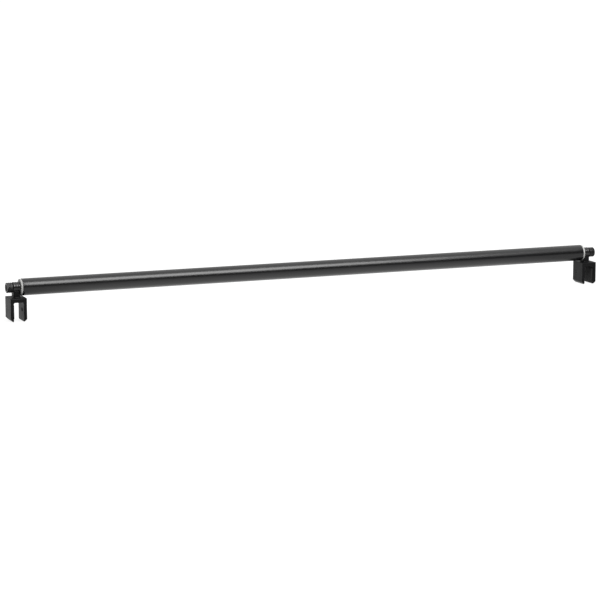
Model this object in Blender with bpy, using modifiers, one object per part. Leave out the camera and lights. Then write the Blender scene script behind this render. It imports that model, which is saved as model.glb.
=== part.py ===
"""Bed cargo bar: a long round tube with an adjustable, downward-opening fork at each end.

Lengths are in metres. World +X runs along the bar, +Y to its back, +Z up. The origin is on the floor
under the middle of the bar. Each end is built in its own frame, where +X points outboard from the
tube's end face and the tube's axis is the X axis. The left end is the right end turned half a turn.
"""

import math

import bmesh
import bpy

COLLECTION_NAME = "bed_cargo_bar"
CUTTER_COLLECTION_NAME = "cutters"

# Clearance kept between pieces that touch.
GAP = 0.0003

# Main tube
TUBE_LENGTH = 1.403
TUBE_DIAMETER = 0.0381
TUBE_WALL = 0.0021
TUBE_EDGE = 0.0005
TUBE_SEGMENTS = 48

# Plug pressed into each end of the tube, with the pin that locks it
PLUG_LENGTH = 0.044
PLUG_RECESS = 0.002
PLUG_CHAMFER = 0.0012
PLUG_PIN_DIAMETER = 0.005
PLUG_PIN_LENGTH = 0.0095
PLUG_PIN_SETBACK = 0.022
PLUG_PIN_CHAMFER = 0.0004

# Adjuster stud: a long bolt whose thread turns in the plug
STUD_DIAMETER = 0.012
STUD_DEPTH = 0.043
STUD_CHAMFER = 0.0012
HEAD_ACROSS_FLATS = 0.017
HEAD_LENGTH = 0.0075

# Light nylon ring against the tube's end
RING_DIAMETER = 0.0368
RING_THICKNESS = 0.004
RING_EDGE = 0.0006

# Eye of the fork casting, its sleeve, and the washer outboard of it
EYE_DIAMETER = 0.0244
EYE_LENGTH = 0.0162
EYE_BORE = 0.016
EYE_GROOVE_DEPTH = 0.0009
EYE_GROOVE_WIDTH = 0.0014
EYE_RIBS = 3
EYE_EDGE = 0.0007
BUSHING_WALL = 0.0014
OUTER_WASHER_DIAMETER = 0.020
OUTER_WASHER_THICKNESS = 0.0012

# Ribbed knob moulded over the stud's head, and its end cap
KNOB_DIAMETER = 0.023
KNOB_LENGTH = 0.0122
KNOB_GROOVE_DEPTH = 0.0011
KNOB_GROOVE_WIDTH = 0.0016
KNOB_RIBS = 3
KNOB_EDGE = 0.0008
CAP_DIAMETER = 0.0146
CAP_THICKNESS = 0.0018
CAP_RECESS = 0.0016
CAP_EDGE = 0.0005

# Fork casting: an upside-down U under a short neck
FORK_TOP_DROP = 0.0218
FORK_HEIGHT = 0.0531
FORK_LENGTH = 0.0372
FORK_DEPTH = 0.0484
SLOT_WIDTH = 0.0231
WEB_THICKNESS = 0.0095
SLOT_FILLET = 0.0035
EAR_CHAMFER = 0.006
FOOT_CORNER = 0.0045
TOP_CORNER = 0.002
FORK_EDGE = 0.0006
NECK_HALF_LENGTH = 0.0079
NECK_HALF_DEPTH = 0.0108
NECK_CORNER = 0.0035
NECK_FLARE = 0.0017
NECK_OVERLAP = 0.0015

# Rubber pad on the outboard ear's inner face
PAD_THICKNESS = 0.0016
PAD_DEPTH = 0.040
PAD_HEIGHT = 0.033
PAD_CORNER = 0.003
PAD_TOP_GAP = 0.0045

# Clamp screw in the inboard ear, with its soft tip
SCREW_DIAMETER = 0.008
SCREW_HOLE = 0.0086
SCREW_LENGTH = 0.005
SCREW_DROP = 0.0275
SCREW_OFFSET = 0.007
SCREW_CHAMFER = 0.0006
SOCKET_ACROSS_FLATS = 0.004
SOCKET_DEPTH = 0.0023
TIP_DIAMETER = 0.0064
TIP_THICKNESS = 0.0012
TIP_STEM_DIAMETER = 0.003
TIP_STEM_LENGTH = 0.0015
TIP_EDGE = 0.0003

# Places along an end's own X axis, worked out from the stack of pieces
RING_START = GAP
EYE_START = RING_START + RING_THICKNESS + GAP
EYE_END = EYE_START + EYE_LENGTH
EYE_CENTRE = (EYE_START + EYE_END) / 2
OUTER_WASHER_START = EYE_END + GAP
HEAD_START = OUTER_WASHER_START + OUTER_WASHER_THICKNESS + GAP
KNOB_END = HEAD_START + KNOB_LENGTH
EAR_THICKNESS = (FORK_LENGTH - SLOT_WIDTH) / 2
AXIS_HEIGHT = FORK_TOP_DROP + FORK_HEIGHT
SCREW_HEIGHT = -FORK_TOP_DROP - SCREW_DROP
INBOARD_EAR_FACE = EYE_CENTRE - SLOT_WIDTH / 2
OUTBOARD_EAR_FACE = EYE_CENTRE + SLOT_WIDTH / 2

# Facets and steps of round shapes
ROUND_SEGMENTS = 32
SMALL_SEGMENTS = 16
CORNER_STEPS = 4
SHOULDER_STEPS = 3
FOOT_STEPS = 5
FLARE_STEPS = 4
EDGE_BEVEL_SEGMENTS = 2
EDGE_BEVEL_DEGREES = 40

# Half of a groove's floor, as a share of its width at the mouth
GROOVE_FLOOR_SHARE = 0.2

# A cutter that passes right through a piece is this many times as long as it
THROUGH = 3

MERGE_DISTANCE = 1e-5
SHARP_ANGLE = math.radians(32)
TO_X_AXIS = (0, math.pi / 2, 0)
UPRIGHT_ALONG_Y = (math.pi / 2, 0, 0)
UPRIGHT_ALONG_X = (math.pi / 2, 0, math.pi / 2)


# ---------------------------------------------------------------- scene and materials

def clear_scene():
    for obj in list(bpy.data.objects):
        bpy.data.objects.remove(obj, do_unlink=True)


def new_collection(name):
    collection = bpy.data.collections.new(name)
    bpy.context.scene.collection.children.link(collection)
    return collection


def make_material(name, colour, roughness, metallic):
    material = bpy.data.materials.new(name)
    material.use_nodes = True
    shader = material.node_tree.nodes["Principled BSDF"]
    shader.inputs["Base Color"].default_value = (*colour, 1.0)
    shader.inputs["Roughness"].default_value = roughness
    shader.inputs["Metallic"].default_value = metallic
    return material


def make_materials():
    return {
        "tube_coat": make_material("tube_coat", (0.018, 0.018, 0.020), 0.38, 0.0),
        "fork_coat": make_material("fork_coat", (0.030, 0.030, 0.032), 0.55, 0.0),
        "black_plastic": make_material("black_plastic", (0.022, 0.022, 0.024), 0.5, 0.0),
        "zinc_steel": make_material("zinc_steel", (0.58, 0.59, 0.60), 0.34, 1.0),
        "plug_alloy": make_material("plug_alloy", (0.66, 0.67, 0.68), 0.42, 1.0),
        "nylon": make_material("nylon", (0.52, 0.52, 0.50), 0.50, 0.0),
        "black_steel": make_material("black_steel", (0.035, 0.034, 0.033), 0.45, 0.8),
        "pad_rubber": make_material("pad_rubber", (0.012, 0.012, 0.012), 0.85, 0.0),
    }


# ---------------------------------------------------------------- shape helpers

def finish_mesh(mesh):
    """Weld the seams and shade smooth, keeping the hard edges."""
    work = bmesh.new()
    work.from_mesh(mesh)
    bmesh.ops.remove_doubles(work, verts=work.verts, dist=MERGE_DISTANCE)
    work.to_mesh(mesh)
    work.free()
    mesh.shade_smooth()
    mesh.set_sharp_from_angle(angle=SHARP_ANGLE)


def to_mesh_object(source, name, collection):
    """Replace an object by a plain mesh object that holds its evaluated shape."""
    graph = bpy.context.evaluated_depsgraph_get()
    mesh = bpy.data.meshes.new_from_object(source.evaluated_get(graph))
    matrix = source.matrix_world.copy()
    bpy.data.objects.remove(source, do_unlink=True)
    finish_mesh(mesh)
    mesh.name = name
    result = bpy.data.objects.new(name, mesh)
    collection.objects.link(result)
    result.matrix_world = matrix
    return result


def turned(name, profile, closed, segments, collection):
    """A solid turned about local Z. The profile lists (height, radius), outer side first, top to bottom."""
    mesh = bpy.data.meshes.new(name)
    points = [(radius, 0.0, height) for height, radius in profile]
    count = len(points)
    edges = [(index, index + 1) for index in range(count - 1)]
    if closed:
        edges.append((count - 1, 0))
    mesh.from_pydata(points, edges, [])
    obj = bpy.data.objects.new(name, mesh)
    collection.objects.link(obj)
    screw = obj.modifiers.new("turn", "SCREW")
    screw.axis = "Z"
    screw.angle = 2 * math.pi
    screw.steps = segments
    screw.render_steps = segments
    screw.use_merge_vertices = True
    screw.merge_threshold = MERGE_DISTANCE
    return obj


def sleeve_profile(start, end, outer, inner, edge):
    """A closed ring section with chamfered outer corners, between two heights."""
    return [
        (end, outer - edge),
        (end - edge, outer),
        (start + edge, outer),
        (start, outer - edge),
        (start, inner),
        (end, inner),
    ]


def ribbed_side(start, end, radius, ribs, depth, width, edge):
    """The outer side of a ribbed cylinder, from end to start: equal ribs with V-sided grooves between."""
    pitch = (end - start) / ribs
    side = [(end, radius - edge), (end - edge, radius)]
    for number in range(1, ribs):
        centre = end - number * pitch
        side.append((centre + width / 2, radius))
        side.append((centre + width * GROOVE_FLOOR_SHARE, radius - depth))
        side.append((centre - width * GROOVE_FLOOR_SHARE, radius - depth))
        side.append((centre - width / 2, radius))
    side.append((start + edge, radius))
    side.append((start, radius - edge))
    return side


def arc(centre_x, centre_y, radius, start_degrees, end_degrees, steps):
    """Points along a circular arc, both ends included."""
    points = []
    for step in range(steps + 1):
        angle = math.radians(start_degrees + (end_degrees - start_degrees) * step / steps)
        points.append((centre_x + radius * math.cos(angle), centre_y + radius * math.sin(angle)))
    return points


def rounded_rectangle(half_x, half_y, corner):
    """The outline of a rectangle with four equal rounded corners, counter-clockwise."""
    inner_x = half_x - corner
    inner_y = half_y - corner
    points = arc(inner_x, inner_y, corner, 0, 90, CORNER_STEPS)
    points += arc(-inner_x, inner_y, corner, 90, 180, CORNER_STEPS)
    points += arc(-inner_x, -inner_y, corner, 180, 270, CORNER_STEPS)
    points += arc(inner_x, -inner_y, corner, 270, 360, CORNER_STEPS)
    return points


def extruded(name, outline, thickness, collection):
    """A flat outline in local XY, filled and extruded equally both ways along local Z."""
    curve = bpy.data.curves.new(name, "CURVE")
    curve.dimensions = "2D"
    curve.fill_mode = "BOTH"
    curve.extrude = thickness / 2
    spline = curve.splines.new("POLY")
    spline.points.add(len(outline) - 1)
    for point, (x, y) in zip(spline.points, outline):
        point.co = (x, y, 0.0, 1.0)
    spline.use_cyclic_u = True
    obj = bpy.data.objects.new(name, curve)
    collection.objects.link(obj)
    return to_mesh_object(obj, name, collection)


def prism(name, radius, length, sides, collection):
    """A cylinder or regular prism about local Z, centred on its origin."""
    mesh = bpy.data.meshes.new(name)
    work = bmesh.new()
    bmesh.ops.create_cone(
        work, cap_ends=True, segments=sides, radius1=radius, radius2=radius, depth=length
    )
    work.to_mesh(mesh)
    work.free()
    obj = bpy.data.objects.new(name, mesh)
    collection.objects.link(obj)
    return obj


def as_cutter(obj):
    obj.hide_render = True
    obj.display_type = "WIRE"
    return obj


def combine(obj, other, operation):
    boolean = obj.modifiers.new(f"{operation.lower()}_{other.name}", "BOOLEAN")
    boolean.operation = operation
    boolean.solver = "EXACT"
    boolean.object = other


def add_bevel(obj, width):
    bevel = obj.modifiers.new("edges", "BEVEL")
    bevel.width = width
    bevel.segments = EDGE_BEVEL_SEGMENTS
    bevel.limit_method = "ANGLE"
    bevel.angle_limit = math.radians(EDGE_BEVEL_DEGREES)


def drop_cutters(cutters):
    for cutter in list(cutters.objects):
        bpy.data.objects.remove(cutter, do_unlink=True)


# ---------------------------------------------------------------- the tube

def build_tube(parts, cutters, material):
    outer = TUBE_DIAMETER / 2
    inner = outer - TUBE_WALL
    half = TUBE_LENGTH / 2
    profile = sleeve_profile(-half, half, outer, inner, TUBE_EDGE)
    tube = turned("main_tube", profile, True, TUBE_SEGMENTS, parts)
    tube.location = (0, 0, AXIS_HEIGHT)
    tube.rotation_euler = TO_X_AXIS
    for sign in (-1, 1):
        hole = as_cutter(prism("pin_hole", PLUG_PIN_DIAMETER / 2 + GAP, outer, SMALL_SEGMENTS, cutters))
        hole.location = (sign * (half - PLUG_PIN_SETBACK), 0, AXIS_HEIGHT - outer)
        combine(tube, hole, "DIFFERENCE")
    bpy.context.view_layer.update()
    tube = to_mesh_object(tube, "main_tube", parts)
    tube.data.materials.append(material)
    drop_cutters(cutters)
    return tube


# ---------------------------------------------------------------- meshes of one end

def plug_mesh(parts, cutters):
    """Plug with a through bore for the stud and a blind hole for the pin, in its end's frame turned to Z."""
    outer = TUBE_DIAMETER / 2 - TUBE_WALL - GAP
    top = -PLUG_RECESS
    bottom = top - PLUG_LENGTH
    profile = sleeve_profile(bottom, top, outer, STUD_DIAMETER / 2 + GAP, PLUG_CHAMFER)
    plug = turned("end_plug", profile, True, ROUND_SEGMENTS, parts)
    pin_top = TUBE_DIAMETER / 2 - PLUG_PIN_LENGTH
    hole = as_cutter(prism("plug_hole", PLUG_PIN_DIAMETER / 2 + GAP, outer, SMALL_SEGMENTS, cutters))
    # Turned to the end's frame, local +X becomes down, where the pin sits.
    hole.rotation_euler = TO_X_AXIS
    hole.location = (pin_top - GAP + outer / 2, 0, -PLUG_PIN_SETBACK)
    combine(plug, hole, "DIFFERENCE")
    return bake(plug, parts, cutters)


def pin_mesh(parts, cutters):
    """Plain pin with chamfered ends, standing along Z from its flush outer end up into the plug."""
    radius = PLUG_PIN_DIAMETER / 2
    chamfer = PLUG_PIN_CHAMFER
    profile = [
        (PLUG_PIN_LENGTH, 0.0),
        (PLUG_PIN_LENGTH, radius - chamfer),
        (PLUG_PIN_LENGTH - chamfer, radius),
        (chamfer, radius),
        (0.0, radius - chamfer),
        (0.0, 0.0),
    ]
    return bake(turned("plug_pin", profile, False, SMALL_SEGMENTS, parts), parts, cutters)


def ring_mesh(parts, cutters):
    start = RING_START
    end = start + RING_THICKNESS
    bore = STUD_DIAMETER / 2 + GAP
    profile = sleeve_profile(start, end, RING_DIAMETER / 2, bore, RING_EDGE)
    return bake(turned("thrust_ring", profile, True, TUBE_SEGMENTS, parts), parts, cutters)


def bushing_mesh(parts, cutters):
    outer = EYE_BORE / 2 - GAP
    profile = sleeve_profile(EYE_START, EYE_END, outer, outer - BUSHING_WALL, GAP)
    return bake(turned("eye_bushing", profile, True, ROUND_SEGMENTS, parts), parts, cutters)


def outer_washer_mesh(parts, cutters):
    start = OUTER_WASHER_START
    end = start + OUTER_WASHER_THICKNESS
    bore = STUD_DIAMETER / 2 + GAP
    profile = sleeve_profile(start, end, OUTER_WASHER_DIAMETER / 2, bore, GAP)
    return bake(turned("outer_washer", profile, True, ROUND_SEGMENTS, parts), parts, cutters)


def stud_mesh(parts, cutters):
    """Shank turned with a chamfered tip, joined to a hexagonal head."""
    radius = STUD_DIAMETER / 2
    shank_top = HEAD_START + HEAD_LENGTH / 2
    profile = [
        (shank_top, 0.0),
        (shank_top, radius),
        (-STUD_DEPTH + STUD_CHAMFER, radius),
        (-STUD_DEPTH, radius - STUD_CHAMFER),
        (-STUD_DEPTH, 0.0),
    ]
    stud = turned("adjuster_stud", profile, False, ROUND_SEGMENTS, parts)
    corner_radius = HEAD_ACROSS_FLATS / 2 / math.cos(math.pi / 6)
    head = as_cutter(prism("stud_head", corner_radius, HEAD_LENGTH, 6, cutters))
    head.location = (0, 0, HEAD_START + HEAD_LENGTH / 2)
    combine(stud, head, "UNION")
    return bake(stud, parts, cutters)


def knob_mesh(parts, cutters):
    """Ribbed knob with a hexagonal pocket over the stud's head and a shallow recess for the cap."""
    outer = KNOB_DIAMETER / 2
    recess = CAP_DIAMETER / 2 + GAP
    floor = KNOB_END - CAP_RECESS
    side = ribbed_side(
        HEAD_START, KNOB_END, outer, KNOB_RIBS, KNOB_GROOVE_DEPTH, KNOB_GROOVE_WIDTH, KNOB_EDGE
    )
    profile = [(floor, 0.0), (floor, recess), (KNOB_END, recess), *side, (HEAD_START, 0.0)]
    knob = turned("adjuster_knob", profile, False, ROUND_SEGMENTS, parts)
    corner_radius = (HEAD_ACROSS_FLATS / 2 + GAP) / math.cos(math.pi / 6)
    pocket_length = 2 * (HEAD_LENGTH + GAP)
    pocket = as_cutter(prism("knob_pocket", corner_radius, pocket_length, 6, cutters))
    pocket.location = (0, 0, HEAD_START)
    combine(knob, pocket, "DIFFERENCE")
    return bake(knob, parts, cutters)


def cap_mesh(parts, cutters):
    radius = CAP_DIAMETER / 2
    start = KNOB_END - CAP_RECESS + GAP
    end = start + CAP_THICKNESS
    profile = [
        (end, 0.0),
        (end, radius - 2 * CAP_EDGE),
        (end - CAP_EDGE, radius),
        (start, radius),
        (start, 0.0),
    ]
    return bake(turned("knob_cap", profile, False, ROUND_SEGMENTS, parts), parts, cutters)


def fork_outline():
    """The upside-down U in (X, Z), seen from the front, with chamfered outer feet."""
    left = EYE_CENTRE - FORK_LENGTH / 2
    right = EYE_CENTRE + FORK_LENGTH / 2
    top = -FORK_TOP_DROP
    bottom = top - FORK_HEIGHT
    slot_top = top - WEB_THICKNESS
    slot_left = EYE_CENTRE - SLOT_WIDTH / 2
    slot_right = EYE_CENTRE + SLOT_WIDTH / 2
    fillet_height = slot_top - SLOT_FILLET
    points = [(left, top), (left, bottom + EAR_CHAMFER), (left + EAR_CHAMFER, bottom), (slot_left, bottom)]
    points += arc(slot_left + SLOT_FILLET, fillet_height, SLOT_FILLET, 180, 90, CORNER_STEPS)
    points += arc(slot_right - SLOT_FILLET, fillet_height, SLOT_FILLET, 90, 0, CORNER_STEPS)
    points += [(slot_right, bottom), (right - EAR_CHAMFER, bottom), (right, bottom + EAR_CHAMFER), (right, top)]
    return points


def fork_side_outline():
    """The fork's outline in (Y, Z): a rectangle with rounded feet and slightly rounded shoulders."""
    half = FORK_DEPTH / 2
    top = -FORK_TOP_DROP
    bottom = top - FORK_HEIGHT
    points = arc(half - TOP_CORNER, top - TOP_CORNER, TOP_CORNER, 0, 90, SHOULDER_STEPS)
    points += arc(-half + TOP_CORNER, top - TOP_CORNER, TOP_CORNER, 90, 180, SHOULDER_STEPS)
    points += arc(-half + FOOT_CORNER, bottom + FOOT_CORNER, FOOT_CORNER, 180, 270, FOOT_STEPS)
    points += arc(half - FOOT_CORNER, bottom + FOOT_CORNER, FOOT_CORNER, 270, 360, FOOT_STEPS)
    return points


def neck_solid(cutters):
    """Short neck lofted from the web up into the eye, flared where it meets the web."""
    flare_start = -FORK_TOP_DROP + NECK_FLARE
    levels = [(-FORK_TOP_DROP - NECK_OVERLAP, NECK_FLARE), (-FORK_TOP_DROP, NECK_FLARE)]
    for step in range(1, FLARE_STEPS + 1):
        angle = math.pi / 2 * step / FLARE_STEPS
        height = flare_start - NECK_FLARE * math.cos(angle)
        levels.append((height, NECK_FLARE * (1 - math.sin(angle))))
    levels.append((-EYE_BORE / 2, 0.0))
    work = bmesh.new()
    rings = []
    for height, growth in levels:
        outline = rounded_rectangle(
            NECK_HALF_LENGTH + growth, NECK_HALF_DEPTH + growth, NECK_CORNER + growth
        )
        rings.append([work.verts.new((EYE_CENTRE + x, y, height)) for x, y in outline])
    count = len(rings[0])
    for lower, upper in zip(rings, rings[1:]):
        for index in range(count):
            after = (index + 1) % count
            work.faces.new((lower[index], lower[after], upper[after], upper[index]))
    work.faces.new(list(reversed(rings[0])))
    work.faces.new(rings[-1])
    mesh = bpy.data.meshes.new("neck")
    work.to_mesh(mesh)
    work.free()
    obj = bpy.data.objects.new("neck", mesh)
    cutters.objects.link(obj)
    return as_cutter(obj)


def eye_solid(cutters):
    side = ribbed_side(
        EYE_START, EYE_END, EYE_DIAMETER / 2, EYE_RIBS, EYE_GROOVE_DEPTH, EYE_GROOVE_WIDTH, EYE_EDGE
    )
    profile = [(EYE_END, 0.0), *side, (EYE_START, 0.0)]
    eye = turned("eye", profile, False, ROUND_SEGMENTS, cutters)
    eye.rotation_euler = TO_X_AXIS
    return as_cutter(eye)


def fork_mesh(parts, cutters):
    """The casting: U-shaped fork, neck and eye in one piece, bored for the bushing and the clamp screw."""
    body = extruded("fork", fork_outline(), FORK_DEPTH, parts)
    body.rotation_euler = UPRIGHT_ALONG_Y
    side = as_cutter(extruded("fork_side", fork_side_outline(), THROUGH * FORK_LENGTH, cutters))
    side.rotation_euler = UPRIGHT_ALONG_X
    combine(body, side, "INTERSECT")
    add_bevel(body, FORK_EDGE)
    combine(body, neck_solid(cutters), "UNION")
    combine(body, eye_solid(cutters), "UNION")
    bore = as_cutter(prism("eye_bore", EYE_BORE / 2, THROUGH * EYE_LENGTH, ROUND_SEGMENTS, cutters))
    bore.rotation_euler = TO_X_AXIS
    combine(body, bore, "DIFFERENCE")
    hole = as_cutter(prism("screw_hole", SCREW_HOLE / 2, SLOT_WIDTH, SMALL_SEGMENTS, cutters))
    hole.rotation_euler = TO_X_AXIS
    hole.location = (INBOARD_EAR_FACE - EAR_THICKNESS / 2, SCREW_OFFSET, SCREW_HEIGHT)
    combine(body, hole, "DIFFERENCE")
    return bake(body, parts, cutters)


def pad_mesh(parts, cutters):
    """Rubber plate with rounded corners, lying in local XY; it is stood up against the ear."""
    outline = rounded_rectangle(PAD_DEPTH / 2, PAD_HEIGHT / 2, PAD_CORNER)
    return bake(extruded("jaw_pad", outline, PAD_THICKNESS, parts), parts, cutters)


def screw_mesh(parts, cutters):
    """Set screw about Z: hexagonal socket at its lower end, pocket for the tip's stem at its upper end."""
    radius = SCREW_DIAMETER / 2
    pocket = TIP_STEM_DIAMETER / 2 + GAP
    pocket_floor = -TIP_STEM_LENGTH - GAP
    profile = [
        (pocket_floor, 0.0),
        (pocket_floor, pocket),
        (0.0, pocket),
        (0.0, radius - SCREW_CHAMFER),
        (-SCREW_CHAMFER, radius),
        (-SCREW_LENGTH + SCREW_CHAMFER, radius),
        (-SCREW_LENGTH, radius - SCREW_CHAMFER),
        (-SCREW_LENGTH, 0.0),
    ]
    screw = turned("clamp_screw", profile, False, SMALL_SEGMENTS, parts)
    corner_radius = SOCKET_ACROSS_FLATS / 2 / math.cos(math.pi / 6)
    socket = as_cutter(prism("screw_socket", corner_radius, 2 * SOCKET_DEPTH, 6, cutters))
    socket.location = (0, 0, -SCREW_LENGTH)
    combine(screw, socket, "DIFFERENCE")
    return bake(screw, parts, cutters)


def tip_mesh(parts, cutters):
    """Soft tip about Z: a disc just above the screw's end, with a stem down into the screw."""
    radius = TIP_DIAMETER / 2
    stem = TIP_STEM_DIAMETER / 2
    edge = TIP_EDGE
    profile = [
        (GAP + TIP_THICKNESS, 0.0),
        (GAP + TIP_THICKNESS, radius - edge),
        (GAP + TIP_THICKNESS - edge, radius),
        (GAP, radius),
        (GAP, stem),
        (-TIP_STEM_LENGTH, stem),
        (-TIP_STEM_LENGTH, 0.0),
    ]
    return bake(turned("clamp_tip", profile, False, SMALL_SEGMENTS, parts), parts, cutters)


def bake(obj, parts, cutters):
    """The finished mesh of a piece in its own coordinates; the working objects are removed."""
    bpy.context.view_layer.update()
    result = to_mesh_object(obj, obj.name, parts)
    mesh = result.data
    mesh.transform(result.matrix_world)
    bpy.data.objects.remove(result, do_unlink=True)
    drop_cutters(cutters)
    return mesh


# ---------------------------------------------------------------- placing the two ends

def place(name, mesh, material, parent, location, rotation, parts):
    own_mesh = mesh.copy()
    own_mesh.name = name
    own_mesh.materials.clear()
    own_mesh.materials.append(material)
    obj = bpy.data.objects.new(name, own_mesh)
    parts.objects.link(obj)
    obj.parent = parent
    obj.location = location
    obj.rotation_euler = rotation
    return obj


def end_pieces(parts, cutters):
    """For each piece of an end: its mesh, material name, place and turn in the end's own frame."""
    on_axis = (0, 0, 0)
    no_turn = (0, 0, 0)
    pin_place = (-PLUG_PIN_SETBACK, 0, -TUBE_DIAMETER / 2 + GAP)
    pad_x = OUTBOARD_EAR_FACE - GAP - PAD_THICKNESS / 2
    pad_z = -FORK_TOP_DROP - WEB_THICKNESS - PAD_TOP_GAP - PAD_HEIGHT / 2
    screw_end = INBOARD_EAR_FACE - TIP_THICKNESS - 2 * GAP
    screw_place = (screw_end, SCREW_OFFSET, SCREW_HEIGHT)
    return {
        "end_plug": (plug_mesh(parts, cutters), "plug_alloy", on_axis, TO_X_AXIS),
        "plug_pin": (pin_mesh(parts, cutters), "zinc_steel", pin_place, no_turn),
        "thrust_ring": (ring_mesh(parts, cutters), "nylon", on_axis, TO_X_AXIS),
        "eye_bushing": (bushing_mesh(parts, cutters), "nylon", on_axis, TO_X_AXIS),
        "outer_washer": (outer_washer_mesh(parts, cutters), "black_steel", on_axis, TO_X_AXIS),
        "adjuster_stud": (stud_mesh(parts, cutters), "zinc_steel", on_axis, TO_X_AXIS),
        "adjuster_knob": (knob_mesh(parts, cutters), "black_plastic", on_axis, TO_X_AXIS),
        "knob_cap": (cap_mesh(parts, cutters), "black_plastic", on_axis, TO_X_AXIS),
        "fork": (fork_mesh(parts, cutters), "fork_coat", on_axis, no_turn),
        "jaw_pad": (pad_mesh(parts, cutters), "pad_rubber", (pad_x, 0, pad_z), UPRIGHT_ALONG_X),
        "clamp_screw": (screw_mesh(parts, cutters), "black_steel", screw_place, TO_X_AXIS),
        "clamp_tip": (tip_mesh(parts, cutters), "black_plastic", screw_place, TO_X_AXIS),
    }


def build():
    clear_scene()
    parts = new_collection(COLLECTION_NAME)
    cutters = new_collection(CUTTER_COLLECTION_NAME)
    materials = make_materials()
    build_tube(parts, cutters, materials["tube_coat"])
    pieces = end_pieces(parts, cutters)
    for side, sign in (("left", -1), ("right", 1)):
        end_frame = bpy.data.objects.new(f"{side}_end", None)
        parts.objects.link(end_frame)
        end_frame.location = (sign * TUBE_LENGTH / 2, 0, AXIS_HEIGHT)
        end_frame.rotation_euler = (0, 0, 0 if sign > 0 else math.pi)
        for piece, (mesh, material_name, location, rotation) in pieces.items():
            material = materials[material_name]
            place(f"{side}_{piece}", mesh, material, end_frame, location, rotation, parts)


build()
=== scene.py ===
"""Looks of the bed cargo bar: fine meshes, procedural materials, plain floor, soft studio light and camera.

Lengths are in metres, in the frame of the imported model. Shapes are built once for the right end, in an
end frame on the bar's axis, whose +X points outboard from the tube's end face, and turned half a turn for
the left end.
"""

import math

import bmesh
import bpy
from mathutils import Matrix, Vector


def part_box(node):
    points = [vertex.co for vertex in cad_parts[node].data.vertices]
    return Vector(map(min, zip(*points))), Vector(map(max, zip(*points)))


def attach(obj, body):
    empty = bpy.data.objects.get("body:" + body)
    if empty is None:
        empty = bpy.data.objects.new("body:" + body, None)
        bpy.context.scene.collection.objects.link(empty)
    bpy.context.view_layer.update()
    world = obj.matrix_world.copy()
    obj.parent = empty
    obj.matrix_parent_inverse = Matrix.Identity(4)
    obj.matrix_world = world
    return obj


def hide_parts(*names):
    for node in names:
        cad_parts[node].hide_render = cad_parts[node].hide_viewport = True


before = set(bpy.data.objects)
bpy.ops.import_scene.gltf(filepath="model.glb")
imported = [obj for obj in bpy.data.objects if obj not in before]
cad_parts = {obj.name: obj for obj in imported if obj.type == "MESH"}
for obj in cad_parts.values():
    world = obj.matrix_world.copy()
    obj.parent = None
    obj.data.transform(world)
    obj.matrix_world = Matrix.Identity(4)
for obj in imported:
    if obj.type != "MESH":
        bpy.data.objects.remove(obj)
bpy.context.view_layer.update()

MM = 0.001
TURN = 2 * math.pi
SIDES = (("left", -1), ("right", 1))

# ---------------------------------------------------------------- sizes

TUBE_LOW, TUBE_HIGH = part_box("main_tube")
END_X = TUBE_HIGH.x
TUBE_RADIUS = (TUBE_HIGH.z - TUBE_LOW.z) / 2
AXIS_Z = (TUBE_HIGH.z + TUBE_LOW.z) / 2
TUBE_WALL = 2.1 * MM
STUD_RADIUS = 6.0 * MM
STUD_BORE = 6.3 * MM
STUD_PITCH = 1.75 * MM
STUD_THREAD_DEPTH = 0.95 * MM
CLAMP_PITCH = 1.25 * MM
CLAMP_THREAD_DEPTH = 0.6 * MM
HEX_SIDES = 6
EYE_FOOT = 69.0 * MM  # the casting has the smoother coat above this height

# ---------------------------------------------------------------- mesh settings

SHARP_ANGLE = math.radians(38)
ARC_STEPS = 5
ON_AXIS = 1e-7
WELD_DISTANCE = 1e-5
THREAD_SEGMENTS = 72
CAST_VOXEL = 0.45 * MM
CAST_SMOOTHING = 14

# ---------------------------------------------------------------- looks

COAT_SPECULAR = 0.35
CAST_SPECULAR = 0.10
EYE_SPECULAR = 0.40
PLASTIC_SPECULAR = 0.30
DULL_SPECULAR = 0.08
FLOOR_SPECULAR = 0.1

FLOOR_TONE = 0.12
FLOOR_TONE_SPREAD = 0.02
FLOOR_GLOW = 0.87
STRIP_GLOW = 0.80
STRIP_ENDS = (0.52, 0.68)
STRIP_FRONT = (-0.28, -0.06)
STRIP_BACK = (0.02, 0.20)
FLOOR_HALF_SIZE = 30.0
FLOOR_DROP = 0.5 * MM

WORLD_TOP = 1.7
WORLD_FRONT_LOW = 0.015
WORLD_BACK_LOW = 0.55
WORLD_FRONT_RISE = (0.42, 0.88)
WORLD_BACK_RISE = (0.10, 0.95)
WORLD_BACK_STARTS = (-0.45, 0.25)

KEY_PLACE = (0.40, -1.45, 1.75)
KEY_TARGET = (0.40, 0.0, AXIS_Z)
KEY_WIDTH = 1.75
KEY_HEIGHT = 1.3
KEY_POWER = 87

CAMERA_TARGET = (-0.0338, 0.0, AXIS_Z - 0.0711)
CAMERA_AZIMUTH = -21.78
CAMERA_ELEVATION = 9.58
CAMERA_DISTANCE = 5.622
CAMERA_LENS = 144.7
CAMERA_SENSOR = 36.0
CAMERA_REACH = 200.0


# ---------------------------------------------------------------- places

def end_span(piece):
    """A right-hand piece's start and end in the end frame, and its outer radius about the bar's axis."""
    low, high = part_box(f"right_{piece}")
    return low.x - END_X, high.x - END_X, (high.y - low.y) / 2


def clamp_span(piece):
    """A clamp piece's start and end in the end frame, its radius, and the move to its own axis."""
    low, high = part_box(f"right_{piece}")
    place = Matrix.Translation((0, (low.y + high.y) / 2, (low.z + high.z) / 2 - AXIS_Z))
    return low.x - END_X, high.x - END_X, (high.y - low.y) / 2, place


def end_matrix(sign):
    """From the end frame to the right end (sign 1) or the left end (sign -1)."""
    turn = Matrix.Rotation(0 if sign > 0 else math.pi, 4, "Z")
    return Matrix.Translation((sign * END_X, 0, AXIS_Z)) @ turn


# ---------------------------------------------------------------- mesh helpers

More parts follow.
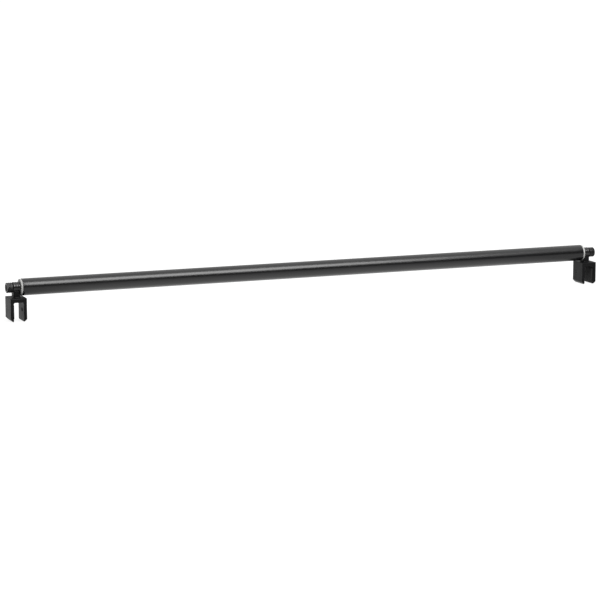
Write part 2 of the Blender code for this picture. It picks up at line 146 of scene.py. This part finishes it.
def mesh_object(name, mesh):
    obj = bpy.data.objects.new(name, mesh)
    bpy.context.scene.collection.objects.link(obj)
    return obj


def smooth_shade(mesh):
    mesh.shade_smooth()
    mesh.set_sharp_from_angle(angle=SHARP_ANGLE)


def weld_mesh(mesh):
    work = bmesh.new()
    work.from_mesh(mesh)
    bmesh.ops.remove_doubles(work, verts=work.verts, dist=WELD_DISTANCE)
    bmesh.ops.recalc_face_normals(work, faces=work.faces)
    work.to_mesh(mesh)
    work.free()


def rounded(points, radii):
    """Replace each corner of a closed outline by an arc of the given radius (0 keeps it sharp)."""
    result = []
    count = len(points)
    for index, radius in enumerate(radii):
        here = Vector(points[index])
        if radius <= 0:
            result.append(tuple(here))
            continue
        before = (Vector(points[index - 1]) - here).normalized()
        after = (Vector(points[(index + 1) % count]) - here).normalized()
        half_angle = before.angle(after) / 2
        middle = (before + after).normalized()
        centre = here + middle * (radius / math.sin(half_angle))
        first = before * (radius / math.tan(half_angle)) + here - centre
        sweep = math.pi - 2 * half_angle
        if first.x * middle.y - first.y * middle.x > 0:
            sweep = -sweep
        for step in range(ARC_STEPS + 1):
            angle = sweep * step / ARC_STEPS
            across = first.x * math.cos(angle) - first.y * math.sin(angle)
            up = first.x * math.sin(angle) + first.y * math.cos(angle)
            result.append((centre.x + across, centre.y + up))
    return result


def lathe(name, profile, segments=128, closed=False, radius_at=None):
    """Turn (along, radius) points about the X axis. radius_at(along, radius, angle) may shape each point."""
    work = bmesh.new()
    rings = []
    for along, radius in profile:
        if radius < ON_AXIS:
            rings.append([work.verts.new((along, 0, 0))])
            continue
        ring = []
        for index in range(segments):
            angle = TURN * index / segments
            reach = radius_at(along, radius, angle) if radius_at else radius
            ring.append(work.verts.new((along, reach * math.cos(angle), reach * math.sin(angle))))
        rings.append(ring)
    pairs = list(zip(rings, rings[1:]))
    if closed:
        pairs.append((rings[-1], rings[0]))
    for first, second in pairs:
        join_rings(work, first, second)
    bmesh.ops.recalc_face_normals(work, faces=work.faces)
    mesh = bpy.data.meshes.new(name)
    work.to_mesh(mesh)
    work.free()
    smooth_shade(mesh)
    return mesh


def join_rings(work, first, second):
    """Bridge two rings of a lathe, either of which may be a single point on the axis."""
    if len(first) == 1 and len(second) == 1:
        return
    count = max(len(first), len(second))
    for index in range(count):
        after = (index + 1) % count
        if len(first) == 1:
            work.faces.new((first[0], second[index], second[after]))
        elif len(second) == 1:
            work.faces.new((first[index], second[0], first[after]))
        else:
            work.faces.new((first[index], second[index], second[after], first[after]))


def evaluated_mesh(obj):
    """The object's mesh with its modifiers applied; the object is removed."""
    bpy.context.view_layer.update()
    graph = bpy.context.evaluated_depsgraph_get()
    mesh = bpy.data.meshes.new_from_object(obj.evaluated_get(graph))
    bpy.data.objects.remove(obj, do_unlink=True)
    return mesh


def cut(mesh, cutters):
    """Subtract meshes from a mesh."""
    obj = mesh_object("cut_work", mesh)
    tools = []
    for number, cutter in enumerate(cutters):
        tool = mesh_object(f"cut_tool_{number}", cutter)
        boolean = obj.modifiers.new("cut", "BOOLEAN")
        boolean.operation = "DIFFERENCE"
        boolean.solver = "EXACT"
        boolean.object = tool
        tools.append(tool)
    result = evaluated_mesh(obj)
    for tool in tools:
        bpy.data.objects.remove(tool, do_unlink=True)
    smooth_shade(result)
    return result


def prism_mesh(radius, length, sides, matrix):
    """A closed prism centred on its own origin, its axis along local Z, then moved by a matrix."""
    work = bmesh.new()
    bmesh.ops.create_cone(work, cap_ends=True, segments=sides, radius1=radius, radius2=radius, depth=length)
    work.transform(matrix)
    mesh = bpy.data.meshes.new("prism")
    work.to_mesh(mesh)
    work.free()
    return mesh


def along_x(x):
    """Lays a prism along X, with its middle at x."""
    return Matrix.Translation((x, 0.0, 0.0)) @ Matrix.Rotation(math.pi / 2, 4, "Y")


def joined(name, meshes):
    """One mesh from several, each kept as its own closed shell."""
    work = bmesh.new()
    for mesh in meshes:
        work.from_mesh(mesh)
    mesh = bpy.data.meshes.new(name)
    work.to_mesh(mesh)
    work.free()
    smooth_shade(mesh)
    return mesh


# ---------------------------------------------------------------- material helpers

class Nodes:
    """A small builder for one material's node tree."""

    def __init__(self, name):
        self.material = bpy.data.materials.new(name)
        self.material.use_nodes = True
        self.tree = self.material.node_tree
        self.shader = self.tree.nodes["Principled BSDF"]
        self.place = self.add("ShaderNodeTexCoord").outputs["Object"]

    def add(self, kind, **settings):
        node = self.tree.nodes.new(kind)
        for key, value in settings.items():
            setattr(node, key, value)
        return node

    def link(self, source, target):
        self.tree.links.new(source, target)

    def noise(self, scale, detail=3.0, roughness=0.55, stretch=(1, 1, 1)):
        mapping = self.add("ShaderNodeMapping")
        mapping.inputs["Scale"].default_value = stretch
        self.link(self.place, mapping.inputs["Vector"])
        noise = self.add("ShaderNodeTexNoise")
        noise.inputs["Scale"].default_value = scale
        noise.inputs["Detail"].default_value = detail
        noise.inputs["Roughness"].default_value = roughness
        self.link(mapping.outputs["Vector"], noise.inputs["Vector"])
        return noise.outputs["Fac"]

    def remap(self, value, low, high, to_low, to_high):
        node = self.add("ShaderNodeMapRange")
        node.inputs["From Min"].default_value = low
        node.inputs["From Max"].default_value = high
        node.inputs["To Min"].default_value = to_low
        node.inputs["To Max"].default_value = to_high
        self.link(value, node.inputs["Value"])
        return node.outputs["Result"]

    def spread(self, noise, to_low, to_high):
        """A noise's usual middle range, stretched between two values."""
        return self.remap(noise, 0.3, 0.7, to_low, to_high)

    def math(self, operation, first, second):
        node = self.add("ShaderNodeMath", operation=operation)
        for socket, value in zip(node.inputs, (first, second)):
            if isinstance(value, (int, float)):
                socket.default_value = value
            else:
                self.link(value, socket)
        return node.outputs[0]

    def mix(self, factor, first, second):
        node = self.add("ShaderNodeMix", data_type="RGBA")
        self.link(factor, node.inputs["Factor"])
        for socket, value in ((node.inputs[6], first), (node.inputs[7], second)):
            if isinstance(value, tuple):
                socket.default_value = (*value, 1.0)
            else:
                self.link(value, socket)
        return node.outputs[2]

    def shades(self, noise, dark, light):
        """Two colours, shared out by a noise."""
        return self.mix(self.spread(noise, 0, 1), dark, light)

    def edges(self, low, high):
        """1 on sharp outer edges, 0 on flats and in hollows."""
        geometry = self.add("ShaderNodeNewGeometry")
        return self.remap(geometry.outputs["Pointiness"], low, high, 0.0, 1.0)

    def bump(self, height, distance, under=None):
        node = self.add("ShaderNodeBump")
        node.inputs["Strength"].default_value = 1.0
        node.inputs["Distance"].default_value = distance
        self.link(height, node.inputs["Height"])
        if under is not None:
            self.link(under, node.inputs["Normal"])
        return node.outputs["Normal"]

    def finish(self, colour, roughness, normal, metallic=0.0, specular=COAT_SPECULAR):
        self.link(colour, self.shader.inputs["Base Color"])
        self.link(roughness, self.shader.inputs["Roughness"])
        self.link(normal, self.shader.inputs["Normal"])
        self.shader.inputs["Metallic"].default_value = metallic
        self.shader.inputs["Specular IOR Level"].default_value = specular
        return self.material


# ---------------------------------------------------------------- materials

def tube_coat():
    """Satin black powder coat on a drawn tube: fine orange peel, faint haze and handling marks."""
    n = Nodes("tube_coat")
    haze = n.noise(9, 4, 0.6, (0.35, 1, 1))
    marks = n.noise(60, 5, 0.7, (0.12, 1, 1))
    peel = n.noise(900, 2, 0.5)
    grain = n.noise(3800, 1, 0.5)
    colour = n.shades(haze, (0.0018, 0.0018, 0.0020), (0.0034, 0.0034, 0.0037))
    scuffs = n.remap(marks, 0.68, 0.80, 0.0, 0.35)
    colour = n.mix(scuffs, colour, (0.018, 0.018, 0.019))
    rough = n.remap(haze, 0.25, 0.75, 0.26, 0.31)
    rough = n.math("ADD", rough, n.math("MULTIPLY", scuffs, 0.25))
    normal = n.bump(peel, 0.000018)
    normal = n.bump(grain, 0.000004, under=normal)
    return n.finish(colour, rough, normal)


def fork_coat():
    """Black coat over a sand-grained casting, a little lighter where the edges rub."""
    n = Nodes("fork_coat")
    patches = n.noise(45, 4, 0.6)
    grain = n.noise(1500, 3, 0.6)
    pits = n.noise(520, 2, 0.5)
    colour = n.shades(patches, (0.0018, 0.0018, 0.0020), (0.0040, 0.0040, 0.0043))
    rubbed = n.remap(n.noise(260, 4, 0.7), 0.42, 0.62, 0.0, 0.35)
    wear = n.math("MULTIPLY", n.edges(0.52, 0.58), rubbed)
    colour = n.mix(wear, colour, (0.060, 0.058, 0.056))
    rough = n.math("ADD", n.spread(patches, 0.38, 0.47), n.math("MULTIPLY", wear, 0.1))
    normal = n.bump(pits, 0.00006)
    normal = n.bump(grain, 0.00003, under=normal)
    return n.finish(colour, rough, normal, specular=CAST_SPECULAR)


def eye_coat():
    """The same coat over the turned eye: smoother and glossier, with finer pits."""
    n = Nodes("eye_coat")
    patches = n.noise(70, 4, 0.6)
    grain = n.noise(1500, 3, 0.6)
    colour = n.shades(patches, (0.0012, 0.0012, 0.0013), (0.0026, 0.0026, 0.0028))
    rubbed = n.remap(n.noise(260, 4, 0.7), 0.42, 0.62, 0.0, 0.25)
    wear = n.math("MULTIPLY", n.edges(0.52, 0.58), rubbed)
    colour = n.mix(wear, colour, (0.045, 0.044, 0.043))
    rough = n.spread(patches, 0.25, 0.32)
    return n.finish(colour, rough, n.bump(grain, 0.000008), specular=EYE_SPECULAR)


def black_plastic():
    """Moulded black nylon: soft sheen, fine spark-eroded grain, rubbed ribs."""
    n = Nodes("black_plastic")
    cloud = n.noise(120, 3, 0.6)
    grain = n.noise(2600, 2, 0.6)
    colour = n.shades(cloud, (0.0018, 0.0018, 0.0020), (0.0036, 0.0036, 0.0040))
    wear = n.math("MULTIPLY", n.edges(0.52, 0.60), 0.25)
    colour = n.mix(wear, colour, (0.06, 0.06, 0.06))
    rough = n.spread(cloud, 0.22, 0.30)
    return n.finish(colour, rough, n.bump(grain, 0.000016), specular=PLASTIC_SPECULAR)


def dull_plastic():
    """Tough black nylon with a dull, lightly scuffed face: the knob caps and the clamp tips."""
    n = Nodes("dull_plastic")
    cloud = n.noise(400, 3, 0.6)
    scuffs = n.noise(1200, 4, 0.7, (1.0, 0.2, 1.0))
    colour = n.shades(cloud, (0.0016, 0.0016, 0.0018), (0.0034, 0.0034, 0.0036))
    colour = n.mix(n.remap(scuffs, 0.60, 0.75, 0.0, 0.3), colour, (0.02, 0.02, 0.02))
    rough = n.spread(cloud, 0.58, 0.72)
    return n.finish(colour, rough, n.bump(scuffs, 0.00002), specular=DULL_SPECULAR)


def turned_metal(name, dark, light, rough_low, rough_high):
    """Turned or plated metal: fine rings across the bar's axis, cloudy plate, soft handling haze."""
    n = Nodes(name)
    lines = n.noise(2400, 2, 0.6, (1.0, 0.03, 0.03))
    cloud = n.noise(170, 4, 0.6)
    colour = n.shades(cloud, dark, light)
    rough = n.math("ADD", n.spread(cloud, rough_low, rough_high), n.spread(lines, -0.03, 0.05))
    return n.finish(colour, rough, n.bump(lines, 0.000012), metallic=1.0)


def nylon():
    """Light natural nylon, matte and faintly cloudy."""
    n = Nodes("nylon")
    cloud = n.noise(150, 3, 0.5)
    colour = n.shades(cloud, (0.235, 0.235, 0.228), (0.285, 0.285, 0.278))
    return n.finish(colour, n.spread(cloud, 0.45, 0.6), n.bump(n.noise(1800), 0.00001))


def black_steel():
    """Oiled black oxide, thin enough on the edges to show steel."""
    n = Nodes("black_steel")
    cloud = n.noise(300, 4, 0.6)
    colour = n.shades(cloud, (0.010, 0.0098, 0.0095), (0.021, 0.020, 0.019))
    colour = n.mix(n.edges(0.53, 0.62), colour, (0.055, 0.053, 0.051))
    normal = n.bump(n.noise(2600), 0.000008)
    return n.finish(colour, n.spread(cloud, 0.32, 0.46), normal, metallic=0.85)


def pad_rubber():
    """Black rubber with a dusty bloom and a fine texture."""
    n = Nodes("pad_rubber")
    bloom = n.noise(90, 4, 0.65)
    colour = n.mix(n.remap(bloom, 0.35, 0.7, 0, 1), (0.007, 0.007, 0.007), (0.018, 0.018, 0.018))
    return n.finish(colour, n.spread(bloom, 0.74, 0.9), n.bump(n.noise(2200, 3, 0.7), 0.00004))


MATERIALS = {
    "tube_coat": tube_coat(),
    "fork_coat": fork_coat(),
    "eye_coat": eye_coat(),
    "black_plastic": black_plastic(),
    "dull_plastic": dull_plastic(),
    "zinc_steel": turned_metal("zinc_steel", (0.50, 0.50, 0.50), (0.66, 0.66, 0.67), 0.26, 0.38),
    "plug_alloy": turned_metal("plug_alloy", (0.55, 0.56, 0.57), (0.70, 0.71, 0.72), 0.32, 0.44),
    "nylon": nylon(),
    "black_steel": black_steel(),
    "pad_rubber": pad_rubber(),
}


# ---------------------------------------------------------------- putting pieces in place

def add_piece(node, mesh, material, body, matrix):
    """A copy of a mesh, given its place, material and body, that stands for one CAD node."""
    name = f"{node}_fine"
    own = mesh.copy()
    own.name = name
    own.transform(matrix)
    own.materials.clear()
    own.materials.append(MATERIALS[material])
    obj = mesh_object(name, own)
    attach(obj, body)
    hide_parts(node)
    return obj


def add_both(piece, mesh, material, body):
    """The same mesh, in the end frame, at both ends."""
    made = []
    for side, sign in SIDES:
        node = f"{side}_{piece}"
        made.append(add_piece(node, mesh, material, f"{side}_{body}", end_matrix(sign)))
    return made


def coat_above(obj, height, material):
    """Give the faces above a height a second material."""
    mesh = obj.data
    mesh.materials.append(MATERIALS[material])
    for face in mesh.polygons:
        if face.center.z > height:
            face.material_index = 1


# ---------------------------------------------------------------- tube

def tube_mesh():
    """Drawn tube with softly rounded rims and a drilled pin hole under each end."""
    pin_low, pin_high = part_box("right_plug_pin")
    hole_x = (pin_low.x + pin_high.x) / 2
    hole_clearance = 0.3 * MM
    hole_radius = (pin_high.x - pin_low.x) / 2 + hole_clearance
    inner = TUBE_RADIUS - TUBE_WALL
    rim = 0.7 * MM
    near_hole = 6 * MM
    outer_side = []
    for x in (hole_x + near_hole, hole_x - near_hole, 0.0, -hole_x + near_hole, -hole_x - near_hole):
        outer_side.append((x, TUBE_RADIUS))
    corners = [(END_X, inner), (END_X, TUBE_RADIUS), *outer_side, (-END_X, TUBE_RADIUS), (-END_X, inner)]
    radii = [rim, rim, *([0] * len(outer_side)), rim, rim]
    mesh = lathe("main_tube_fine", rounded(corners, radii), 192, closed=True)
    holes = []
    for sign in (-1, 1):
        place = Matrix.Translation((sign * hole_x, 0, -TUBE_RADIUS))
        holes.append(prism_mesh(hole_radius, TUBE_RADIUS, 48, place))
    return cut(mesh, holes)


# ---------------------------------------------------------------- turned pieces of an end

def sleeve_mesh(piece):
    """A plain sleeve between the CAD piece's own ends, with rounded corners."""
    start, end, radius = end_span(piece)
    edge = 0.3 * MM
    corners = [(start, STUD_BORE), (end, STUD_BORE), (end, radius), (start, radius)]
    return lathe(piece, rounded(corners, [edge] * len(corners)), closed=True)


def ring_mesh():
    """Thrust ring: a rounded rim and a shallow turned step round the outer face."""
    start, end, radius = end_span("thrust_ring")
    step_radius = radius - 2.6 * MM
    step_depth = 0.25 * MM
    corners = [
        (start, STUD_BORE),
        (end - step_depth, STUD_BORE),
        (end - step_depth, step_radius),
        (end, step_radius + step_depth),
        (end, radius),
        (start, radius),
    ]
    bore_edge = 0.3 * MM
    step_edge = 0.1 * MM
    rim_edge = 0.7 * MM
    radii = [bore_edge, bore_edge, step_edge, step_edge, rim_edge, rim_edge]
    return lathe("thrust_ring", rounded(corners, radii), 160, closed=True)


def plug_mesh():
    """End plug: a bored cylinder with a countersunk mouth and rounded rims."""
    start, end, radius = end_span("end_plug")
    mouth = 1.2 * MM
    corners = [
        (start, STUD_BORE),
        (end - mouth, STUD_BORE),
        (end, STUD_BORE + mouth),
        (end, radius),
        (start, radius),
    ]
    mouth_edge = 0.1 * MM
    rim_edge = MM
    return lathe("end_plug", rounded(corners, [0, mouth_edge, mouth_edge, rim_edge, rim_edge]), closed=True)


def threaded_rod(name, start, end, radius, pitch, depth, rows_per_pitch=12):
    """A closed rod along X whose side is a helical thread that fades at both ends."""
    rows = round((end - start) / pitch * rows_per_pitch)
    tip_sink = 1.4
    fade_sink = 0.4
    crest = 1.6
    flank = 3.6
    profile = [(start, 0.0), (start, radius - tip_sink * depth)]
    for row in range(1, rows):
        profile.append((start + (end - start) * row / rows, radius))
    profile += [(end, radius - tip_sink * depth), (end, 0.0)]

    def thread(along, full, angle):
        if full < radius - depth:
            return full
        phase = (along / pitch - angle / TURN) % 1.0
        ridge = min(1.0, max(0.0, crest - abs(phase - 0.5) * flank))
        fade = min(1.0, (along - start) / pitch, (end - along) / pitch)
        return full - depth * (1 - ridge) - fade_sink * depth * (1 - fade)

    return lathe(name, profile, THREAD_SEGMENTS, radius_at=thread)


def stud_mesh():
    """Long threaded stud, plain shank through the eye, and a hexagonal head."""
    start, end, head_radius = end_span("adjuster_stud")
    head_length = 7.5 * MM
    head_start = end - head_length
    shank_start = -0.5 * MM
    shank_radius = STUD_RADIUS - 0.2 * MM
    thread = threaded_rod("thread", start, 0.0, STUD_RADIUS, STUD_PITCH, STUD_THREAD_DEPTH)
    profile = [(shank_start, 0.0), (shank_start, shank_radius), (head_start, shank_radius), (head_start, 0.0)]
    shank = lathe("shank", profile, 96)
    head = prism_mesh(head_radius, head_length, HEX_SIDES, along_x(end - head_length / 2))
    return joined("adjuster_stud", [thread, shank, head])


def ribbed_radius(start, end, radius, ribs, depth, samples):
    """(along, radius) points of a ribbed side: broad rounded ribs with narrow round-bottomed grooves."""
    half_groove = 0.95 * MM
    points = []
    for index in range(samples + 1):
        share = index / samples
        phase = (share * ribs) % 1.0
        gap = min(phase, 1 - phase) * (end - start) / ribs
        inside = 0 < share * ribs - 0.5 < ribs - 1
        groove = max(0.0, 1 - (gap / half_groove) ** 2) if inside else 0.0
        points.append((start + (end - start) * share, radius - depth * groove ** 0.5))
    return points


def knob_mesh():
    """Ribbed knob with fine grip flutes on the ribs, hollowed for the stud's head and the cap."""
    start, end, radius = end_span("adjuster_knob")
    cap_start, _, cap_radius = end_span("knob_cap")
    clearance = 0.3 * MM
    recess = cap_radius + clearance
    floor = cap_start - clearance
    edge = 0.8 * MM
    ribs = 3
    rib_depth = 1.0 * MM
    rib_samples = 96
    flutes = 60
    flute_depth = 0.16 * MM
    flute_foot = radius - 0.15 * MM
    side = ribbed_radius(start + edge, end - edge, radius, ribs, rib_depth, rib_samples)
    first = []
    last = []
    for step in range(ARC_STEPS + 1):
        angle = math.pi / 2 * step / ARC_STEPS
        first.append((start + edge - edge * math.cos(angle), radius - edge + edge * math.sin(angle)))
        last.append((end - edge + edge * math.sin(angle), radius - edge + edge * math.cos(angle)))
    profile = [(start, 0.0), *first[:-1], *side, *last[1:], (end, recess), (floor, recess), (floor, 0.0)]

    def flute(along, full, angle):
        if full < flute_foot:
            return full
        return full - flute_depth * (0.5 + 0.5 * math.cos(flutes * angle)) ** 2

    mesh = lathe("adjuster_knob", profile, 360, radius_at=flute)
    _, _, head_radius = end_span("adjuster_stud")
    socket_clearance = 0.35 * MM
    socket_depth = 7.8 * MM
    socket = prism_mesh(head_radius + socket_clearance, 2 * socket_depth, HEX_SIDES, along_x(start))
    return cut(mesh, [socket])


def cap_mesh():
    """Push-in end cap: gently domed, with a shallow ring near its rim."""
    start, end, radius = end_span("knob_cap")
    rise = 0.45 * MM
    groove_depth = 0.22 * MM
    groove_place = 0.80
    groove_width = 0.035
    edge_drop = 0.4 * MM
    edge_place = 0.94
    edge_width = 0.06
    steps = 40
    profile = [(start, 0.0), (start, radius)]
    for step in range(steps + 1):
        share = 1 - step / steps
        dome = rise * (1 - share**2)
        groove = groove_depth * math.exp(-(((share - groove_place) / groove_width) ** 2))
        edge = edge_drop * max(0.0, (share - edge_place) / edge_width) ** 2
        profile.append((end - rise + dome - groove - edge, radius * share))
    return lathe("knob_cap", profile)


def pin_mesh():
    """Rolled spring pin: a slotted tube with rounded ends, standing along Z, in the end frame."""
    low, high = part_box("right_plug_pin")
    radius = (high.x - low.x) / 2
    length = high.z - low.z
    wall = 1.0 * MM
    inner_edge = 0.2 * MM
    outer_edge = 0.5 * MM
    slot_half = 0.5 * MM
    slot_stretch = 40
    corners = [(0, radius - wall), (length, radius - wall), (length, radius), (0, radius)]
    profile = rounded(corners, [inner_edge, inner_edge, outer_edge, outer_edge])
    mesh = lathe("plug_pin", profile, 64, closed=True)
    slot = prism_mesh(slot_half, 4 * radius, 4, Matrix.Identity(4))
    slot.transform(Matrix.Diagonal((slot_stretch, 1, 1, 1)) @ Matrix.Rotation(math.pi / 4, 4, "X"))
    slot.transform(Matrix.Translation((0.0, radius, 0.0)))
    mesh = cut(mesh, [slot])
    mesh.transform(Matrix.Rotation(-math.pi / 2, 4, "Y"))
    mesh.transform(Matrix.Translation(((low.x + high.x) / 2 - END_X, 0, low.z - AXIS_Z)))
    return mesh


# ---------------------------------------------------------------- fork, pad and clamp screw

def fork_mesh():
    """The casting, re-meshed finely from its CAD shape and softened like a cast and tumbled piece."""
    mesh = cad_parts["right_fork"].data.copy()
    mesh.transform(end_matrix(1).inverted())
    weld_mesh(mesh)
    obj = mesh_object("fork_work", mesh)
    remesh = obj.modifiers.new("voxels", "REMESH")
    remesh.mode = "VOXEL"
    remesh.voxel_size = CAST_VOXEL
    remesh.adaptivity = 0.0
    smooth = obj.modifiers.new("soften", "SMOOTH")
    smooth.factor = 0.5
    smooth.iterations = CAST_SMOOTHING
    result = evaluated_mesh(obj)
    result.shade_smooth()
    return result


def pad_mesh():
    """Rubber pad with softened edges and a few shallow grip grooves along it."""
    low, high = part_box("right_jaw_pad")
    centre = (low + high) / 2
    size = high - low
    corner_radius = 3 * MM
    front_radius = 0.5 * MM
    groove_count = 6
    groove_radius = 0.55 * MM
    groove_length = size.y - 7 * MM
    work = bmesh.new()
    bmesh.ops.create_cube(work, size=1.0)
    for vert in work.verts:
        vert.co = Vector((vert.co.x * size.x, vert.co.y * size.y, vert.co.z * size.z))
    corners = [e for e in work.edges if abs((e.verts[0].co - e.verts[1].co).x) > size.x / 2]
    bmesh.ops.bevel(work, geom=corners, offset=corner_radius, segments=8, affect="EDGES", profile=0.5)
    front = [e for e in work.edges if all(v.co.x < 0 for v in e.verts)]
    bmesh.ops.bevel(work, geom=front, offset=front_radius, segments=3, affect="EDGES", profile=0.5)
    mesh = bpy.data.meshes.new("jaw_pad")
    work.to_mesh(mesh)
    work.free()
    grooves = []
    for number in range(groove_count):
        z = size.z * ((number + 0.5) / groove_count - 0.5)
        place = Matrix.Translation((-size.x / 2, 0, z)) @ Matrix.Rotation(math.pi / 2, 4, "X")
        grooves.append(prism_mesh(groove_radius, groove_length, 16, place))
    mesh = cut(mesh, grooves)
    mesh.transform(Matrix.Translation(centre - Vector((END_X, 0, AXIS_Z))))
    return mesh


def clamp_screw_mesh():
    """Threaded set screw: a hexagonal socket in its inboard end, a pocket for the tip in the other."""
    start, end, radius, place = clamp_span("clamp_screw")
    socket_radius = 2.0 * MM / math.cos(math.pi / HEX_SIDES)
    socket_length = 4.6 * MM
    pocket_radius = 1.8 * MM
    pocket_length = 3.6 * MM
    rod = threaded_rod("clamp_screw", start, end, radius, CLAMP_PITCH, CLAMP_THREAD_DEPTH, 14)
    socket = prism_mesh(socket_radius, socket_length, HEX_SIDES, along_x(start))
    pocket = prism_mesh(pocket_radius, pocket_length, 32, along_x(end))
    mesh = cut(rod, [socket, pocket])
    mesh.transform(place)
    return mesh


def clamp_tip_mesh():
    """Clamp tip: a thin stem in the screw's pocket and a flat disc with a rounded face."""
    start, end, radius, place = clamp_span("clamp_tip")
    disc = end - 1.2 * MM
    stem = 1.5 * MM
    small_edge = 0.2 * MM
    face_edge = 0.4 * MM
    corners = [(start, 0.0), (start, stem), (disc, stem), (disc, radius), (end, radius), (end, 0.0)]
    mesh = lathe("clamp_tip", rounded(corners, [0, small_edge, 0, small_edge, face_edge, 0]), 64)
    mesh.transform(place)
    return mesh


# ---------------------------------------------------------------- the object

add_piece("main_tube", tube_mesh(), "tube_coat", "bar", Matrix.Translation((0, 0, AXIS_Z)))
for side, sign in SIDES:
    add_piece(f"{side}_end_plug", plug_mesh(), "plug_alloy", "bar", end_matrix(sign))
    add_piece(f"{side}_plug_pin", pin_mesh(), "zinc_steel", "bar", end_matrix(sign))
add_both("thrust_ring", ring_mesh(), "nylon", "carriage")
add_both("eye_bushing", sleeve_mesh("eye_bushing"), "nylon", "carriage")
add_both("outer_washer", sleeve_mesh("outer_washer"), "black_steel", "carriage")
add_both("adjuster_stud", stud_mesh(), "zinc_steel", "adjuster")
add_both("adjuster_knob", knob_mesh(), "black_plastic", "adjuster")
add_both("knob_cap", cap_mesh(), "dull_plastic", "adjuster")
for fork in add_both("fork", fork_mesh(), "fork_coat", "jaw"):
    coat_above(fork, EYE_FOOT, "eye_coat")
add_both("jaw_pad", pad_mesh(), "pad_rubber", "jaw")
add_both("clamp_screw", clamp_screw_mesh(), "black_steel", "clamp_bolt")
add_both("clamp_tip", clamp_tip_mesh(), "dull_plastic", "clamp_nose")


# ---------------------------------------------------------------- floor, light and camera

def make_floor():
    """A light table: it glows evenly, and more in a strip under the tube, over a dull grey surface."""
    n = Nodes("floor_white")
    cloud = n.noise(1.5, 3, 0.5)
    split = n.add("ShaderNodeSeparateXYZ")
    n.link(n.place, split.inputs["Vector"])
    along = n.remap(n.math("ABSOLUTE", split.outputs["X"], 0.0), *STRIP_ENDS, 1.0, 0.0)
    front = n.remap(split.outputs["Y"], *STRIP_FRONT, 0.0, 1.0)
    back = n.remap(split.outputs["Y"], *STRIP_BACK, 1.0, 0.0)
    strip = n.math("MULTIPLY", along, n.math("MULTIPLY", front, back))
    glow = n.math("ADD", n.math("MULTIPLY", strip, STRIP_GLOW), FLOOR_GLOW)
    n.shader.inputs["Emission Color"].default_value = (1, 1, 1, 1)
    n.link(glow, n.shader.inputs["Emission Strength"])
    colour = n.shades(cloud, (FLOOR_TONE,) * 3, (FLOOR_TONE + FLOOR_TONE_SPREAD,) * 3)
    rough = n.spread(cloud, 0.8, 0.9)
    material = n.finish(colour, rough, n.bump(n.noise(300), 0.00002), specular=FLOOR_SPECULAR)
    work = bmesh.new()
    bmesh.ops.create_grid(work, x_segments=8, y_segments=8, size=FLOOR_HALF_SIZE)
    mesh = bpy.data.meshes.new("floor")
    work.to_mesh(mesh)
    work.free()
    mesh.materials.append(material)
    floor = mesh_object("floor", mesh)
    floor.location = (0, 0, -FLOOR_DROP)


def make_world():
    """A studio room: bright overhead, softer behind, and dark low down in front, where the room is unlit."""
    world = bpy.data.worlds.new("studio")
    bpy.context.scene.world = world
    world.use_nodes = True
    tree = world.node_tree
    background = tree.nodes["Background"]
    place = tree.nodes.new("ShaderNodeTexCoord")
    split = tree.nodes.new("ShaderNodeSeparateXYZ")
    tree.links.new(place.outputs["Generated"], split.inputs["Vector"])

    def ramp(value, low, high, to_low, to_high):
        node = tree.nodes.new("ShaderNodeMapRange")
        node.interpolation_type = "SMOOTHSTEP"
        node.inputs["From Min"].default_value = low
        node.inputs["From Max"].default_value = high
        node.inputs["To Min"].default_value = to_low
        node.inputs["To Max"].default_value = to_high
        tree.links.new(value, node.inputs["Value"])
        return node.outputs["Result"]

    front = ramp(split.outputs["Z"], *WORLD_FRONT_RISE, WORLD_FRONT_LOW, WORLD_TOP)
    back = ramp(split.outputs["Z"], *WORLD_BACK_RISE, WORLD_BACK_LOW, WORLD_TOP)
    side = ramp(split.outputs["Y"], *WORLD_BACK_STARTS, 0.0, 1.0)
    mix = tree.nodes.new("ShaderNodeMix")
    tree.links.new(side, mix.inputs["Factor"])
    tree.links.new(front, mix.inputs[2])
    tree.links.new(back, mix.inputs[3])
    tree.links.new(mix.outputs[0], background.inputs["Strength"])
    background.inputs["Color"].default_value = (1, 1, 1, 1)


def add_area(name, location, target, width, height, power):
    light = bpy.data.lights.new(name, "AREA")
    light.shape = "RECTANGLE"
    light.size = width
    light.size_y = height
    light.energy = power
    obj = bpy.data.objects.new(name, light)
    bpy.context.scene.collection.objects.link(obj)
    obj.location = location
    aim = Vector(target) - Vector(location)
    obj.rotation_euler = aim.to_track_quat("-Z", "Y").to_euler()


def make_camera():
    camera = bpy.data.cameras.new("camera")
    camera.lens = CAMERA_LENS
    camera.sensor_width = CAMERA_SENSOR
    camera.clip_end = CAMERA_REACH
    obj = bpy.data.objects.new("camera", camera)
    bpy.context.scene.collection.objects.link(obj)
    azimuth = math.radians(CAMERA_AZIMUTH)
    elevation = math.radians(CAMERA_ELEVATION)
    level = math.cos(elevation)
    back = Vector((math.sin(azimuth) * level, -math.cos(azimuth) * level, math.sin(elevation)))
    obj.location = Vector(CAMERA_TARGET) + back * CAMERA_DISTANCE
    obj.rotation_euler = (-back).to_track_quat("-Z", "Y").to_euler()
    bpy.context.scene.camera = obj


make_floor()
make_world()
add_area("key_softbox", KEY_PLACE, KEY_TARGET, KEY_WIDTH, KEY_HEIGHT, KEY_POWER)
make_camera()
bpy.context.scene.view_settings.view_transform = "Standard"
